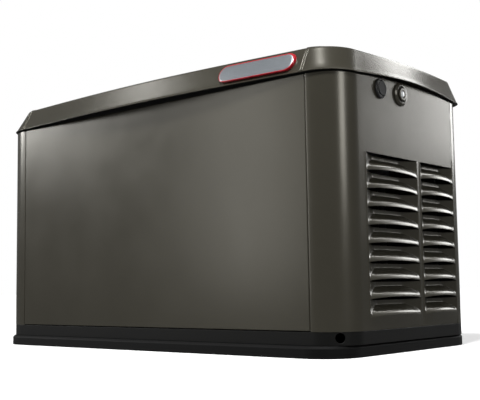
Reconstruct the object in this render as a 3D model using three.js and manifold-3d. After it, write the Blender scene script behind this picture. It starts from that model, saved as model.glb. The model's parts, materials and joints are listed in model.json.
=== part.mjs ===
// A home standby generator: a sheet-metal enclosure on a mounting pad, which holds a V-twin gas
// engine, its alternator, a muffler, a battery, a fuel regulator and a controller.
// Millimetres. X runs along the enclosure with the air intake end at +X, Y from front to rear, Z up.
import * as THREE from "three";
import { mergeVertices } from "three/addons/utils/BufferGeometryUtils.js";
import Module from "manifold-3d";

const wasm = await Module();
wasm.setup();

// ---- driving dimensions ----
const GAP = 0.3; // between pieces that touch
const LENGTH = 1202; // outside of the end panels
const DEPTH = 597; // outside of the front and rear panels
const CORNER = 81; // outside radius of the enclosure's upright corners
const SHEET = 3;
const FLANGE = 25; // inward flange round the top of the panels
const HALF_X = LENGTH / 2;
const HALF_Y = DEPTH / 2;
const PAD = { x: 597, y: 315, corner: 89, top: 27, bevel: 5 };
const FRAME_TOP = 56;
const CORNER_HOLE = { z: 43.5, radius: 11 }; // lifting holes through the base frame's corners
const PANEL_TOP = 625;
const SEAM = { left: -506, right: 515, gap: 1.6 }; // between the flat panels and the end panels
const ORIGIN_Y = 5.5; // from the middle of the whole object to the middle of the enclosure

const RIM = { x: 604, front: 306, rear: 306, corner: 86, rearCorner: 60, z: 628 };
const CREASE = { x: 582, front: 279, rear: 286, corner: 88, rearCorner: 42, z: 687 };
const FRONT_BOW = 23; // the lid's front swells forward between its two ribs
const END_BOW = 12; // the lid's ends swell outward
const END_ARCH = 10; // and the rim rises along them
const CREST = 8.5; // how far the end panels' top edges rise under that arch
const CROWN_TOP = 732;
const LID_SHEET = 4;
const LEDGE = { low: 640, high: 643, inset: 40 }; // the lid's inner ledge, which carries its seal

const HINGE = { y: 312.5, z: 630, knuckle: 5, pin: 2.6, x: 400 };
const LOUVRE = { rows: 9, outletRows: 6, pitch: 41, bottom: 82.4, columns: [[-192, 35], [51, 217]] };
const LOCK = { y: -123, z: 605.4, hole: 17, bezel: 23.5 };
const STATUS = { y: -33, z: 605.4, hole: 17, bezel: 28 };

const CRANK = { y: 15, z: 262, radius: 17 };
const BASE = 31.6; // just above the floor of the base frame
const WALL = { halfY: 280, top: 600, exhaust: -334, control: 300 }; // the two inner partitions
const STRUT = { x: 548, foot: [230, 470], head: [140, 645], barrel: 9, rod: 4, eye: 8, stud: 5 };

// ---- materials ----
function finish(color, roughness, metalness) {
  return new THREE.MeshStandardMaterial({ color, roughness, metalness });
}
const powderCoat = finish(0x55544c, 0.42, 0.3);
const blackSteel = finish(0x26261f, 0.5, 0.5);
const frameCoat = finish(0x383836, 0.5, 0.4);
const padPlastic = finish(0x101010, 0.8, 0);
const rubber = finish(0x0c0c0c, 0.85, 0);
const blackPlastic = finish(0x17171a, 0.55, 0);
const castAluminium = finish(0x9a9c9e, 0.5, 0.9);
const brightSteel = finish(0xb9bbbd, 0.3, 1);
const copper = finish(0x9a5a30, 0.45, 0.8);
const aluminised = finish(0x8d8b86, 0.55, 0.8);
const silverPlate = finish(0xb4bcc4, 0.35, 0.6);
const redTrim = finish(0xa30d1c, 0.35, 0);
const redPaint = finish(0x8f1014, 0.45, 0.1);
const paleLens = finish(0xd9dcd8, 0.25, 0);
const brass = finish(0xb08d4a, 0.35, 1);

// ---- solids ----
function solid(geometry) {
  const bare = geometry.index ? geometry.toNonIndexed() : geometry.clone();
  for (const name of Object.keys(bare.attributes)) {
    if (name !== "position") bare.deleteAttribute(name);
  }
  const merged = mergeVertices(bare, 1e-4);
  const vertProperties = merged.attributes.position.array;
  const triVerts = new Uint32Array(merged.index.array);
  const made = new wasm.Manifold(new wasm.Mesh({ numProp: 3, vertProperties, triVerts }));
  if (made.volume() > 0) return made;
  const turned = triVerts.slice().reverse();
  return new wasm.Manifold(new wasm.Mesh({ numProp: 3, vertProperties, triVerts: turned }));
}

function geometryOf(manifold) {
  const mesh = manifold.getMesh();
  const geometry = new THREE.BufferGeometry();
  geometry.setAttribute("position", new THREE.BufferAttribute(mesh.vertProperties, mesh.numProp));
  geometry.setIndex(new THREE.BufferAttribute(mesh.triVerts, 1));
  const faceted = geometry.toNonIndexed();
  faceted.computeVertexNormals();
  return faceted;
}

function box(x0, x1, y0, y1, z0, z1) {
  const geometry = new THREE.BoxGeometry(x1 - x0, y1 - y0, z1 - z0);
  return solid(geometry.translate((x0 + x1) / 2, (y0 + y1) / 2, (z0 + z1) / 2));
}

// Turns a geometry whose own axis is +Y so that the axis runs along x, y or z.
function alongAxis(geometry, axis) {
  if (axis === "x") geometry.rotateZ(-Math.PI / 2);
  if (axis === "z") geometry.rotateX(Math.PI / 2);
  return geometry;
}

function cylinder(axis, [x, y, z], radius, length, sides = 24, endRadius = radius) {
  const geometry = new THREE.CylinderGeometry(endRadius, radius, length, sides);
  return solid(alongAxis(geometry, axis).translate(x, y, z));
}

// Revolves a closed profile of [radius, distance along the axis] points.
function ring(axis, [x, y, z], profile, sides = 24) {
  const closed = [...profile, profile[0]].map(([r, along]) => new THREE.Vector2(r, along));
  return solid(alongAxis(new THREE.LatheGeometry(closed, sides), axis).translate(x, y, z));
}

// Revolves a profile that starts and ends on the axis.
function spindle(axis, [x, y, z], profile, sides = 24) {
  const points = profile.map(([r, along]) => new THREE.Vector2(r, along));
  return solid(alongAxis(new THREE.LatheGeometry(points, sides), axis).translate(x, y, z));
}

// Extrudes an outline along an axis: (x, y) points for z, (y, z) points for x, (x, z) for y.
function prism(outline, axis, from, to) {
  const shape = new THREE.Shape(outline.map(([a, b]) => new THREE.Vector2(a, b)));
  const geometry = new THREE.ExtrudeGeometry(shape, { depth: to - from, bevelEnabled: false });
  const basis = new THREE.Matrix4();
  const [X, Y, Z] = [[1, 0, 0], [0, 1, 0], [0, 0, 1]].map((v) => new THREE.Vector3(...v));
  if (axis === "x") basis.makeBasis(Y, Z, X).setPosition(from, 0, 0);
  if (axis === "y") basis.makeBasis(X, Z, Y.negate()).setPosition(0, to, 0);
  if (axis === "z") basis.setPosition(0, 0, from);
  return solid(geometry.applyMatrix4(basis));
}

function tube(points, radius, steps = 16, sides = 8) {
  const path = new THREE.CatmullRomCurve3(points.map((p) => new THREE.Vector3(...p)), false, "centripetal");
  const section = new THREE.Shape();
  for (let i = 0; i < sides; i++) {
    const angle = (2 * Math.PI * i) / sides;
    const [a, b] = [radius * Math.cos(angle), radius * Math.sin(angle)];
    if (i === 0) section.moveTo(a, b);
    else section.lineTo(a, b);
  }
  return solid(new THREE.ExtrudeGeometry(section, { steps, extrudePath: path, bevelEnabled: false }));
}

function arc(cx, cy, radius, from, to, steps) {
  const points = [];
  for (let i = 0; i <= steps; i++) {
    const angle = from + ((to - from) * i) / steps;
    points.push([cx + radius * Math.cos(angle), cy + radius * Math.sin(angle)]);
  }
  return points;
}

function roundedRect(x0, x1, y0, y1, radius, steps = 6) {
  const q = Math.PI / 2;
  return [
    ...arc(x1 - radius, y0 + radius, radius, -q, 0, steps),
    ...arc(x1 - radius, y1 - radius, radius, 0, q, steps),
    ...arc(x0 + radius, y1 - radius, radius, q, 2 * q, steps),
    ...arc(x0 + radius, y0 + radius, radius, 2 * q, 3 * q, steps),
  ];
}

// The plan outline of the enclosure, moved inward.
function plan(inset) {
  const radius = Math.max(CORNER - inset, 4);
  return roundedRect(-HALF_X + inset, HALF_X - inset, -HALF_Y + inset, HALF_Y - inset, radius);
}

// Joins rings of equal point counts, from the lowest ring to the highest, into one closed body.
function loft(rings) {
  const count = rings[0].length;
  const middle = (r) => r.reduce((sum, p) => sum.map((v, i) => v + p[i] / count), [0, 0, 0]);
  const vertices = [...rings.flat(), middle(rings[0]), middle(rings.at(-1))];
  const low = rings.length * count;
  const faces = [];
  for (let i = 0; i < count; i++) {
    const next = (i + 1) % count;
    for (let k = 0; k + 1 < rings.length; k++) {
      const [a, b] = [k * count, (k + 1) * count];
      faces.push(a + i, a + next, b + next, a + i, b + next, b + i);
    }
    const top = (rings.length - 1) * count;
    faces.push(low, next, i, low + 1, top + i, top + next);
  }
  const geometry = new THREE.BufferGeometry();
  geometry.setAttribute("position", new THREE.Float32BufferAttribute(vertices.flat(), 3));
  geometry.setIndex(faces);
  return solid(geometry);
}

function join(...solids) {
  return solids.reduce((all, next) => all.add(next));
}

function cut(body, ...tools) {
  return tools.reduce((left, tool) => left.subtract(tool), body);
}

function turn(manifold, axis, degrees, [x, y, z]) {
  const geometry = geometryOf(manifold).translate(-x, -y, -z);
  geometry["rotate" + axis.toUpperCase()](THREE.MathUtils.degToRad(degrees));
  return solid(geometry.translate(x, y, z));
}

const generator = new THREE.Group();
const unit = new THREE.Group();
unit.position.set(0, ORIGIN_Y, 0);
generator.add(unit);

function piece(name, manifold, material) {
  const mesh = new THREE.Mesh(geometryOf(manifold), material);
  mesh.name = name;
  unit.add(mesh);
}

// ---- pad and base ----
function mountingPad() {
  const outline = (inset, z) =>
    roundedRect(-PAD.x + inset, PAD.x - inset, -PAD.y + inset, PAD.y - inset, PAD.corner - inset)
      .map(([x, y]) => [x, y, z]);
  return loft([outline(0, 0), outline(0, PAD.top - PAD.bevel), outline(PAD.bevel, PAD.top)]);
}

function baseFrame() {
  const [floor, lip, lipDepth] = [PAD.top + GAP + 4, FRAME_TOP - 4, 16];
  const tray = cut(
    prism(plan(0), "z", PAD.top + GAP, FRAME_TOP),
    prism(plan(4), "z", floor, lip),
    prism(plan(lipDepth), "z", floor, FRAME_TOP + 1),
  );
  const reach = Math.SQRT1_2 * CORNER;
  const holes = [[1, 1], [1, -1], [-1, 1], [-1, -1]].map(([sx, sy]) => {
    const [x, y] = [sx * (HALF_X - CORNER + reach), sy * (HALF_Y - CORNER + reach)];
    const centre = [x, y, CORNER_HOLE.z];
    const hole = cylinder("y", centre, CORNER_HOLE.radius, 40, 16);
    return turn(hole, "z", sx * sy > 0 ? -45 : 45, centre);
  });
  return cut(tray, ...holes);
}

// ---- enclosure panels ----
// One pressed louvre: its top edge lies inside the panel and its rounded lip stands proud below.
function louvreBlade(y0, y1, z) {
  const section = [
    [-17, 36], [-17, 29], [5, 12], [8, 8.5], [7, 4], [0, 1], [-3, 1],
    [-3, 7], [1.5, 10.5], [-19.5, 27.5], [-19.5, 36],
  ];
  const outline = section.map(([x, dz]) => [HALF_X + x, z + dz]);
  return prism(outline, "y", y0 - 1, y1 + 1);
}

function louvreWindow(y0, y1, z) {
  return box(HALF_X - 3 * SHEET, HALF_X + 1, y0, y1, z + 10, z + LOUVRE.pitch);
}

function addLouvres(panel, rows) {
  const cells = LOUVRE.columns.flatMap(([y0, y1]) =>
    Array.from({ length: rows }, (_, row) => [y0, y1, LOUVRE.bottom + row * LOUVRE.pitch]));
  const open = cut(panel, ...cells.map((cell) => louvreWindow(...cell)));
  return join(open, ...cells.map((cell) => louvreBlade(...cell)));
}

// The crest on an end panel's top edge, which follows the arched rim of the lid.
function crest() {
  const reach = HALF_Y - CORNER;
  const steps = 12;
  const sunk = 0.5;
  const top = Array.from({ length: steps + 1 }, (_, i) => {
    const t = 1 - (2 * i) / steps;
    return [t * reach, PANEL_TOP - sunk + (CREST + sunk) * Math.cos((Math.PI / 2) * t)];
  });
  const foot = PANEL_TOP - SHEET;
  return prism([[-reach, foot], [reach, foot], ...top], "x", HALF_X - SHEET, HALF_X);
}

const RETURN_DEPTH = 14; // of the folded edges at the seams

// The C-shaped panel at the +X end: both rounded corners, a top flange and a return at each seam.
function endPanel(seamX, rows, fittings) {
  const [low, high] = [FRAME_TOP + GAP, PANEL_TOP];
  const from = seamX + SEAM.gap / 2;
  const shell = cut(
    prism(plan(0), "z", low, high),
    prism(plan(SHEET), "z", low - 1, high - SHEET),
    prism(plan(FLANGE), "z", low - 1, high + 1),
    box(-LENGTH, from, -DEPTH, DEPTH, low - 1, high + 1),
  );
  const returns = [-1, 1].map((side) => {
    const [a, b] = [side * (HALF_Y - RETURN_DEPTH), side * (HALF_Y - 1)].sort((p, q) => p - q);
    return box(from, from + SHEET, a, b, low, high);
  });
  const holes = fittings.map((f) => cylinder("x", [HALF_X, f.y, f.z], f.hole, 20));
  return addLouvres(cut(join(shell, crest(), ...returns), ...holes), rows);
}

function mirrorX(manifold) {
  return solid(geometryOf(manifold).scale(-1, 1, 1));
}

// The stud on the intake end's wall that carries the foot of the gas strut.
function strutStud() {
  const [y, z] = STRUT.foot;
  const wall = HALF_X - SHEET + 1;
  const tip = STRUT.x + STRUT.stud + GAP;
  return cylinder("x", [(wall + tip) / 2, y, z], STRUT.stud, wall - tip, 12);
}

function flatPanel(side) {
  const [x0, x1] = [SEAM.left + SEAM.gap / 2, SEAM.right - SEAM.gap / 2];
  const [z0, z1] = [FRAME_TOP + GAP + 1.4, PANEL_TOP];
  const depth = RETURN_DEPTH;
  const y = (inset) => side * (HALF_Y - inset);
  const slab = (a, b, c, d, e, f) => box(a, b, Math.min(c, d), Math.max(c, d), e, f);
  const hollow = slab(x0 + SHEET, x1 - SHEET, y(SHEET), y(depth + 1), z0 + SHEET, z1 - SHEET);
  return cut(slab(x0, x1, y(0), y(depth), z0, z1), hollow);
}

const FUEL = { x: 400, z: 130, radius: 11 };
const CONDUIT = { x: 470, z: 120, hole: 17 };
const VENT = { x0: -300, x1: -90, low: 330, height: 12, pitch: 26, count: 6 }; // slots in the rear panel

function rearPanel() {
  const [y0, y1] = [HALF_Y - 20, HALF_Y + 5];
  const [x0, x1] = [SEAM.left + 10, SEAM.right - 10];
  const rail = box(x0, x1, HALF_Y - FLANGE, HALF_Y - 1, PANEL_TOP - SHEET, PANEL_TOP);
  const slots = Array.from({ length: VENT.count }, (_, i) => {
    const low = VENT.low + i * VENT.pitch;
    return box(VENT.x0, VENT.x1, y0, y1, low, low + VENT.height);
  });
  const knockouts = [
    cylinder("y", [FUEL.x, HALF_Y, FUEL.z], FUEL.radius + 3, 40),
    cylinder("y", [CONDUIT.x, HALF_Y, CONDUIT.z], CONDUIT.hole, 40),
  ];
  return cut(join(flatPanel(1), rail), ...slots, ...knockouts);
}

function conduitGland() {
  return ring("y", [CONDUIT.x, HALF_Y, CONDUIT.z], [
    [11, -18], [16.4, -18], [16.4, GAP], [24, GAP], [24, 7], [18, 7], [18, 16], [11, 16],
  ], 20);
}

// ---- partitions ----
const PIPES = { z: 310, reach: 165, hole: 26 };

function exhaustDivider() {
  const x = WALL.exhaust;
  const sheet = box(x, x + SHEET, -WALL.halfY, WALL.halfY, BASE, WALL.top);
  const holes = [-1, 1].map((side) =>
    cylinder("x", [x, CRANK.y + side * PIPES.reach, PIPES.z], PIPES.hole, 20));
  return cut(sheet, ...holes, cylinder("x", [x, CRANK.y, CRANK.z], 80, 20, 28));
}

function controlPartition() {
  const x = WALL.control;
  const sheet = box(x, x + SHEET, -WALL.halfY, WALL.halfY, BASE, WALL.top);
  return cut(sheet, cylinder("x", [x, CRANK.y, CRANK.z], 105, 20, 28));
}

// ---- lid ----
// One ring of the lid: `offset` moves the outline inward and `arch` raises it along the ends.
function lidRing(shape, offset, z, arch = 0) {
  const corner = Math.max(shape.corner - offset, 6);
  const rearCorner = Math.max(shape.rearCorner - offset, 6);
  const [x, front, rear] = [shape.x - offset, shape.front - offset, shape.rear - offset];
  const swell = (t) => Math.max(0, Math.cos((Math.PI / 2) * t));
  const points = [];
  const steps = 16;
  for (let i = 0; i < steps; i++) {
    const px = (x - corner) * (-1 + (2 * i) / steps);
    points.push([px, -front - FRONT_BOW * swell(px / (x - corner)), z]);
  }
  const bowed = (...bend) => arc(...bend, 6).map(([a, b]) => [a, b, z]);
  const side = (sign, y0, y1) => [1, 2, 3, 4, 5].map((i) => {
    const t = -1 + i / 3;
    const py = y0 + ((y1 - y0) * i) / 6;
    return [sign * (x + END_BOW * swell(t)), py, z + arch * swell(t)];
  });
  const q = Math.PI / 2;
  points.push(...bowed(x - corner, -front + corner, corner, -q, 0));
  points.push(...side(1, -front + corner, rear - rearCorner));
  points.push(...bowed(x - rearCorner, rear - rearCorner, rearCorner, 0, q));
  points.push(...bowed(-x + rearCorner, rear - rearCorner, rearCorner, q, 2 * q));
  points.push(...side(-1, rear - rearCorner, -front + corner));
  points.push(...bowed(-x + corner, -front + corner, corner, 2 * q, 3 * q).slice(0, -1));
  return points;
}

function blend(a, b, t) {
  const mix = (key) => a[key] + (b[key] - a[key]) * t;
  return Object.fromEntries(Object.keys(a).map((key) => [key, mix(key)]));
}

// The lid's outer form, moved inward by `offset`: rim, skirt, crease and a crowned top.
function lidForm(offset) {
  const crown = [[6, 0.06], [45, 0.28], [110, 0.6], [230, 1]];
  const top = CROWN_TOP - CREASE.z;
  const lip = blend(RIM, CREASE, 0.08);
  return loft([
    lidRing(RIM, offset, RIM.z - (offset > 0 ? 2 : 0), END_ARCH),
    lidRing(lip, offset, lip.z, END_ARCH),
    lidRing(CREASE, offset, CREASE.z - offset),
    ...crown.map(([inset, rise]) => lidRing(CREASE, offset + inset, CREASE.z - offset + rise * top)),
  ]);
}

// The inner bracket and stud that carry the head of the gas strut.
function strutHanger() {
  const [y, z] = STRUT.head;
  const inner = HALF_X - LEDGE.inset;
  const tip = STRUT.x + STRUT.stud + GAP;
  return join(
    box(inner - 5, inner + 3, y - 15, y + 15, LEDGE.low, z + 12),
    cylinder("x", [(inner + tip) / 2, y, z], STRUT.stud, inner - tip, 12),
  );
}

function lid() {
  const shell = cut(
    lidForm(0),
    prism(plan(LEDGE.inset), "z", RIM.z - 9, LEDGE.high + 1),
    lidForm(LID_SHEET).intersect(box(-LENGTH, LENGTH, -DEPTH, DEPTH, LEDGE.high, CROWN_TOP)),
    lidForm(LID_SHEET).intersect(box(-LENGTH, LENGTH, -DEPTH, DEPTH, RIM.z - 9, LEDGE.low)),
  );
  return join(shell, strutHanger());
}

const SEAL = { outer: 8, inner: 20 }; // insets from the enclosure's outline

function lidSeal() {
  return cut(
    prism(plan(SEAL.outer), "z", PANEL_TOP + GAP, LEDGE.low - GAP),
    prism(plan(SEAL.inner), "z", PANEL_TOP - 5, LEDGE.low + 5),
  );
}

// The skirt's outer face at a height, on the front or rear, where it isn't swollen.
function skirtY(side, z) {
  const t = (z - RIM.z) / (CREASE.z - RIM.z);
  return RIM[side] + (CREASE[side] - RIM[side]) * t;
}

const BADGE = { x0: 273, x1: 488, z0: 636.5, z1: 682 };

// A pill-shaped plate that lies along the swollen front skirt, between two depths.
function badgeSlab(inset, near, far) {
  const [x0, x1] = [BADGE.x0 + inset, BADGE.x1 - inset];
  const [z0, z1] = [BADGE.z0 + inset, BADGE.z1 - inset];
  const outline = roundedRect(x0, x1, z0, z1, (z1 - z0) / 2);
  const pill = prism(outline, "y", -HALF_Y - 80, -HALF_Y + 80);
  return cut(pill.intersect(lidForm(-far)), lidForm(-near));
}

// ---- hinges ----
function hingeBracket(x) {
  const face = HALF_Y + GAP + SHEET;
  const [armReach, armWidth] = [27, 22];
  const plate = box(x - 40, x + 40, HALF_Y + GAP, face, 570, 621);
  const section = [
    [face - GAP, 600], [HINGE.y + HINGE.knuckle, 624], [HINGE.y - 4, 627], [face - GAP, 620],
  ];
  const arms = [-1, 1].map((side) => {
    const middle = x + side * armReach;
    return join(
      prism(section, "x", middle - armWidth / 2, middle + armWidth / 2),
      cylinder("x", [middle, HINGE.y, HINGE.z], HINGE.knuckle, armWidth, 16),
    );
  });
  const pin = cylinder("x", [x, HINGE.y, HINGE.z], HINGE.pin - 0.5, 70, 12);
  return join(plate, ...arms, pin);
}

function hingeLeaf(x) {
  const [low, high] = [634, 664];
  const face = (z) => skirtY("rear", z) + 0.8;
  const section = [
    [face(low) + 3.4, low - 4], [face(low) + 6, low], [face(high) + 3, high],
    [face(high), high], [face(low), low],
  ];
  const leaf = prism(section, "x", x - 15, x + 15);
  const knuckle = cylinder("x", [x, HINGE.y, HINGE.z], HINGE.knuckle, 30, 16);
  const bore = cylinder("x", [x, HINGE.y, HINGE.z], HINGE.pin + 0.2, 60, 12);
  return cut(join(leaf, knuckle), bore);
}

// ---- locks and the status window on the ends ----
function lockBarrel() {
  return ring("x", [HALF_X, LOCK.y, LOCK.z], [
    [11, -14], [16.2, -14], [16.2, GAP], [LOCK.bezel, GAP], [LOCK.bezel, 5],
    [19, 5], [19, 2.5], [11, 2.5],
  ], 24);
}

// The turning core: a slotted head in the barrel and, inside the wall, a cam that hangs down.
function lockCore() {
  const { y, z } = LOCK;
  const plug = cylinder("x", [HALF_X - 9, y, z], 10.2, 22, 20);
  const key = box(HALF_X - 2, HALF_X + 5, y - 1.2, y + 1.2, z - 6, z + 6);
  const cam = box(HALF_X - 24, HALF_X - 20, y - 8, y + 8, z - 42, z + 10);
  return cut(join(plug, cam), key);
}

// The rubber dust cover, hinged at the top of the barrel.
function lockCover() {
  const { y, z } = LOCK;
  const disc = cylinder("x", [HALF_X + 6.4, y, z], 17, 2, 20);
  const tab = box(HALF_X + 5.4, HALF_X + 8.4, y - 4, y + 4, z - 21, z - 14);
  return join(disc, tab);
}

function statusBezel() {
  return ring("x", [HALF_X, STATUS.y, STATUS.z], [
    [12.6, -16], [16.2, -16], [16.2, GAP], [STATUS.bezel, GAP], [STATUS.bezel, 3], [22, 6.5],
    [19, 6.5], [18, 4], [15.5, 4], [15.5, 9], [12.6, 9],
  ], 28);
}

function statusLens() {
  return spindle("x", [HALF_X, STATUS.y, STATUS.z], [[0, -12], [12.2, -12], [12.2, 7], [8, 8.6], [0, 9]], 28);
}

// ---- engine and alternator ----
const SUPPORT = { reach: 80, low: 72, high: 112 };

function cradle() {
  const { y } = CRANK;
  const caseFoot = CRANK.z - 112 - GAP;
  const rails = [-1, 1].map((side) => {
    const middle = y + side * SUPPORT.reach;
    return box(-300, 170, middle - 15, middle + 15, SUPPORT.low, SUPPORT.high);
  });
  const cross = (x0, x1, top) => box(x0, x1, y - 90, y + 90, SUPPORT.low, top);
  const saddle = cut(cross(-250, -215, 160), cylinder("x", [-232, y, CRANK.z], 128.8, 60, 28));
  return join(...rails, cross(-45, -10, caseFoot), cross(105, 140, caseFoot), saddle);
}

function vibrationMount(x, y) {
  return spindle("z", [x, y, 0], [
    [0, BASE], [24, BASE], [24, 38], [17, 46], [17, 60], [22, 66], [22, 71.7], [0, 71.7],
  ], 16);
}

const CASE = { from: -60, to: 167.7 };
const DIPSTICK = { x: -45, y: -120, top: 330 };
const MIXER = { x: 55, low: 402.6, top: 500, bore: 19, throttle: 455 };

function crankcase() {
  const half = [[95, -112], [125, -60], [125, 30.6], [15.6, 140]];
  const outline = [...half, ...half.map(([y, z]) => [-y, z]).reverse()];
  const block = prism(outline.map(([y, z]) => [CRANK.y + y, CRANK.z + z]), "x", CASE.from, CASE.to);
  const { x, y, top } = DIPSTICK;
  const low = 205;
  const neck = cylinder("z", [x, y, (top + low) / 2], 9, top - low, 16);
  const filler = join(neck, box(x - 9, x + 9, y, y + 30, low, low + 30));
  const bore = cylinder("x", [50, CRANK.y, CRANK.z], CRANK.radius + 0.6, 300);
  return cut(join(block, filler), bore, cylinder("z", [x, y, top], 6, 236, 16));
}

// A finned cylinder with its head, built upright over the crank and leaned to one bank.
function bank(build, x, side) {
  return turn(build(x), "x", side * -45, [x, CRANK.y, CRANK.z]);
}

function finnedCylinder(x) {
  const { y, z } = CRANK;
  const plate = (low, high, half) => box(x - half, x + half, y - half, y + half, z + low, z + high);
  const [finCount, finPitch, finThickness, firstFin] = [6, 15, 3.5, 126];
  const fins = Array.from({ length: finCount }, (_, i) => {
    const low = firstFin + i * finPitch;
    return plate(low, low + finThickness, 50);
  });
  return join(cylinder("z", [x, y, z + 170], 43, 118.8, 20), ...fins, plate(222, 246, 52));
}

function rockerCover(x) {
  const { y, z } = CRANK;
  const outline = (inset, level) => {
    const [halfX, halfY] = [46 - inset, 36 - inset];
    const flat = roundedRect(x - halfX, x + halfX, y - halfY, y + halfY, 12, 3);
    return flat.map(([a, b]) => [a, b, z + level]);
  };
  return loft([outline(0, 246.4), outline(0, 272), outline(8, 281)]);
}

function crankshaft() {
  const { y, z, radius } = CRANK;
  const [from, shoulder, to] = [-296, 226, 238];
  const profile = [[0, from], [radius, from], [radius, shoulder], [10, shoulder], [10, to], [0, to]];
  return spindle("x", [0, y, z], profile);
}

function fanBlades(x0, x1, r0, r1, count) {
  const { y, z } = CRANK;
  return Array.from({ length: count }, (_, i) =>
    turn(box(x0, x1, y - 2, y + 2, z + r0, z + r1), "x", (360 * i) / count, [0, y, z]));
}

function bladedDisc(x0, x1, hub, radius, bladeTo, count) {
  const centre = [(x0 + x1) / 2, CRANK.y, CRANK.z];
  const disc = cylinder("x", centre, radius, x1 - x0, 28);
  const boss = cylinder("x", [(x0 + bladeTo) / 2, CRANK.y, CRANK.z], hub, bladeTo - x0, 20);
  const blades = fanBlades(x1 - 1, bladeTo, hub - 2, radius - 3, count);
  return join(disc, boss, ...blades);
}

function shaftBore(x, length) {
  return cylinder("x", [x, CRANK.y, CRANK.z], CRANK.radius + GAP, length);
}

function flywheelFan() {
  return cut(bladedDisc(176, 188, 34, 120, 222, 12), shaftBore(200, 100));
}

function alternatorRotor() {
  const poles = cylinder("x", [-180, CRANK.y, CRANK.z], 88, 150, 24);
  return cut(join(poles, bladedDisc(-106, -92, 40, 112, -72, 10)), shaftBore(-160, 220));
}

function blowerHousing() {
  return ring("x", [0, CRANK.y, CRANK.z], [
    [60, 168], [150, 168], [150, 246], [84, 246], [84, 243], [146, 243], [146, 171], [60, 171],
  ], 28);
}

function alternatorStator() {
  return ring("x", [0, CRANK.y, CRANK.z], [
    [96, -240], [96, -112], [121, -112], [121, -60.4],
    [128, -60.4], [128, -268], [121, -268], [121, -240],
  ], 28);
}

function bearingCarrier() {
  const disc = ring("x", [0, CRANK.y, CRANK.z], [
    [18, -288], [130, -288], [130, -268.4], [121, -268.4],
    [121, -280], [42, -280], [42, -264], [18, -264],
  ], 28);
  const window = (angle) => {
    const { y, z } = CRANK;
    return turn(box(-295, -270, y - 22, y + 22, z + 56, z + 104), "x", angle, [0, y, z]);
  };
  return cut(disc, ...[45, 135, 225, 315].map(window));
}

// ---- exhaust ----
const MUFFLER = { x0: -560, x1: -390, z0: 160, z1: 350, halfY: 195 };
const TAIL = { x: -525, outer: 30, inner: 26, reach: 36 };

function muffler() {
  const { x0, x1, z0, z1, halfY } = MUFFLER;
  const outline = (inset) => {
    const half = halfY - inset;
    return roundedRect(CRANK.y - half, CRANK.y + half, z0 + inset, z1 - inset, 60 - inset, 4);
  };
  const tail = [TAIL.x, CRANK.y, z0 - 12];
  return cut(
    join(prism(outline(0), "x", x0, x1), cylinder("z", tail, TAIL.outer, TAIL.reach, 16)),
    prism(outline(4), "x", x0 + 4, x1 - 4),
    cylinder("z", tail, TAIL.inner, 2 * TAIL.reach, 16),
  );
}

function exhaustPipe(x, side) {
  const y = (reach) => CRANK.y + side * reach;
  const face = x - 52 - GAP;
  return tube([
    [face, y(165), 427], [face - 40, y(165), 427], [-150, y(180), 402], [-240, y(175), 335],
    [-310, y(165), PIPES.z], [-350, y(165), PIPES.z], [MUFFLER.x1 + GAP, y(165), PIPES.z],
  ], 14, 18);
}

// ---- intake ----
function mixerBody() {
  const { x, low, top, bore, throttle } = MIXER;
  const { y } = CRANK;
  const body = cylinder("z", [x, y, (low + top) / 2], 27, top - low, 24);
  const flange = cylinder("z", [x, y, top - 3], 80, 6, 28);
  const spindleHole = cylinder("x", [x, y, throttle], 4, 80, 12);
  return cut(join(body, flange), cylinder("z", [x, y, top], bore, 130, 24), spindleHole);
}

function throttlePlate() {
  const { x, bore, throttle } = MIXER;
  const { y } = CRANK;
  const disc = cylinder("z", [x, y, throttle], bore - 1.4, 2.4, 24);
  const shaft = cylinder("x", [x - 3, y, throttle], 3.2, 72, 12);
  const lever = box(x - 42, x - 39, y - 4, y + 4, throttle - 24, throttle + 4);
  return join(disc, shaft, lever);
}

function airCleaner() {
  const { x, top } = MIXER;
  const { y } = CRANK;
  const outline = (inset, z) => {
    const half = 80 - inset;
    const flat = roundedRect(x - 105 + inset, x + 95 - inset, y - half, y + half, 30, 4);
    return flat.map(([a, b]) => [a, b, z]);
  };
  return loft([outline(0, top + 0.4), outline(0, top + 52), outline(10, top + 66)]);
}

// ---- fittings round the engine ----
function oilFilter() {
  return spindle("y", [110, 0, 236], [
    [0, -190], [30, -190], [36, -184], [36, -118], [28, -112], [0, -110.4],
  ], 20);
}

function dipstick() {
  const { x, y, top } = DIPSTICK;
  return spindle("z", [x, y, 0], [
    [0, 222], [2.6, 222], [2.6, top + 0.4], [11.5, top + 0.4],
    [11.5, top + 12], [6, top + 18], [6, top + 26], [0, top + 26],
  ], 16);
}

function starterMotor() {
  const [y, z] = [177, 192];
  const body = spindle("x", [0, y, z], [
    [0, 30], [30, 30], [34, 36], [34, 140], [20, 150], [20, 163], [0, 163],
  ], 20);
  const foot = box(60, 120, CRANK.y + 125.4, y, z - 6, z + 12);
  return join(body, foot, cylinder("x", [90, y + 18, z + 44], 17, 80, 16));
}

const BATTERY = { x0: 335, x1: 543, y0: -262, y1: -89, top: 222 };

function battery() {
  const { x0, x1, y0, y1, top } = BATTERY;
  const posts = [x0 + 30, x1 - 30].map((x) => cylinder("z", [x, y0 + 30, top + 6], 8, 18, 12, 7));
  const tub = box(x0, x1, y0, y1, BASE, top - 28);
  const cover = box(x0 + 4, x1 - 4, y0 + 4, y1 - 4, top - 30, top);
  return join(tub, cover, ...posts);
}

const REGULATOR = { x: 345, y: 200, z: 470 };

function fuelRegulator() {
  const { x, y, z } = REGULATOR;
  const body = cylinder("x", [x, y, z], 52, 60, 24);
  const foot = box(WALL.control + SHEET + GAP, x, y - 30, y + 30, z - 30, z + 30);
  const port = cylinder("z", [FUEL.x, y, z - 26], 16, 40, 16);
  const neck = box(x, FUEL.x + 16, y - 16, y + 16, z - 20, z + 14);
  return join(body, foot, neck, port);
}

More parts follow.
